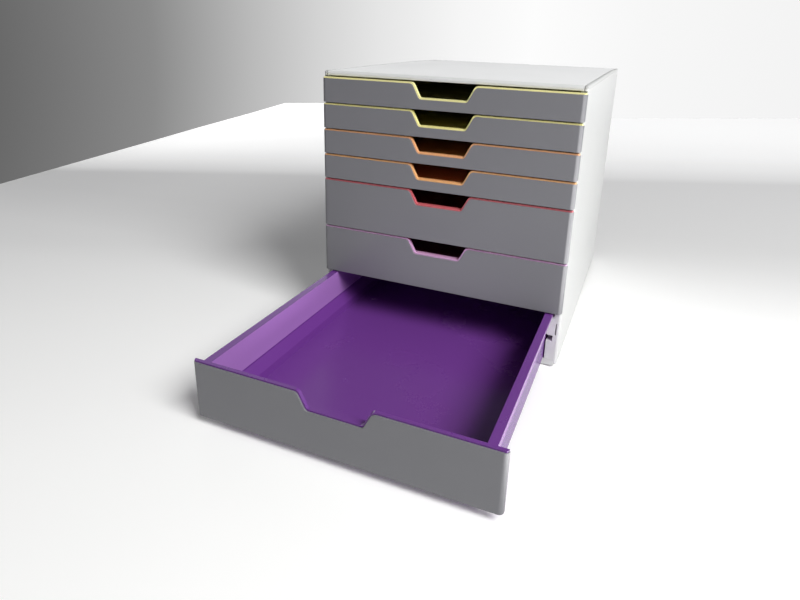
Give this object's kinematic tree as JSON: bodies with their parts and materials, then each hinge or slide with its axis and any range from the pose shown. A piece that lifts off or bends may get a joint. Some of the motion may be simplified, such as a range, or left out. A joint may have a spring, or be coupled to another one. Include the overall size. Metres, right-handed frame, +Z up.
{
  "type": "desktop drawer tower",
  "caption": "Free-standing desktop drawer tower: light grey casing with grooved sides, coloured pull-out trays behind notched grey fronts, the lowest drawer standing open.",
  "frame": {"origin": "on the floor under the middle of the casing, drawers' front faces included", "axes": "+Z up, +X to the right as seen from the front, -Y towards the user, so the drawers open along -Y"},
  "size_m": [0.28, 0.5813, 0.2964],
  "materials": {
    "casing_grey": "satin moulded plastic",
    "cover_grey": "satin moulded plastic",
    "foot_rubber": "matt",
    "yellow_one": "satin moulded plastic",
    "yellow_two": "satin moulded plastic",
    "orange_three": "satin moulded plastic",
    "orange_four": "satin moulded plastic",
    "red": "satin moulded plastic",
    "pink_violet": "satin moulded plastic",
    "violet": "satin moulded plastic"
  },
  "bodies": {
    "casing": {"top_panel": "casing_grey", "base_panel": "casing_grey", "back_panel": "casing_grey", "left_side_panel": "casing_grey", "right_side_panel": "casing_grey", "left_runner_frame": "casing_grey", "right_runner_frame": "casing_grey", "rubber_feet": "foot_rubber"},
    "drawer_1": {"yellow_tray_1": "yellow_one", "front_cover_1": "cover_grey"},
    "drawer_2": {"yellow_tray_2": "yellow_two", "front_cover_2": "cover_grey"},
    "drawer_3": {"orange_tray_3": "orange_three", "front_cover_3": "cover_grey"},
    "drawer_4": {"orange_tray_4": "orange_four", "front_cover_4": "cover_grey"},
    "drawer_5": {"red_tray_5": "red", "front_cover_5": "cover_grey"},
    "drawer_6": {"pink_tray_6": "pink_violet", "front_cover_6": "cover_grey"},
    "drawer_7": {"violet_tray_7": "violet", "front_cover_7": "cover_grey"}
  },
  "joints": [
    {"name": "drawer_1_slide", "type": "slide", "parent": "casing", "child": "drawer_1", "axis": [0, -1, 0], "range_m": [0, 0.25]},
    {"name": "drawer_2_slide", "type": "slide", "parent": "casing", "child": "drawer_2", "axis": [0, -1, 0], "range_m": [0, 0.25]},
    {"name": "drawer_3_slide", "type": "slide", "parent": "casing", "child": "drawer_3", "axis": [0, -1, 0], "range_m": [0, 0.25]},
    {"name": "drawer_4_slide", "type": "slide", "parent": "casing", "child": "drawer_4", "axis": [0, -1, 0], "range_m": [0, 0.25]},
    {"name": "drawer_5_slide", "type": "slide", "parent": "casing", "child": "drawer_5", "axis": [0, -1, 0], "range_m": [0, 0.25]},
    {"name": "drawer_6_slide", "type": "slide", "parent": "casing", "child": "drawer_6", "axis": [0, -1, 0], "range_m": [0, 0.25]},
    {"name": "drawer_7_slide", "type": "slide", "parent": "casing", "child": "drawer_7", "axis": [0, -1, 0], "range_m": [-0.2253, 0.0247]}
  ]
}
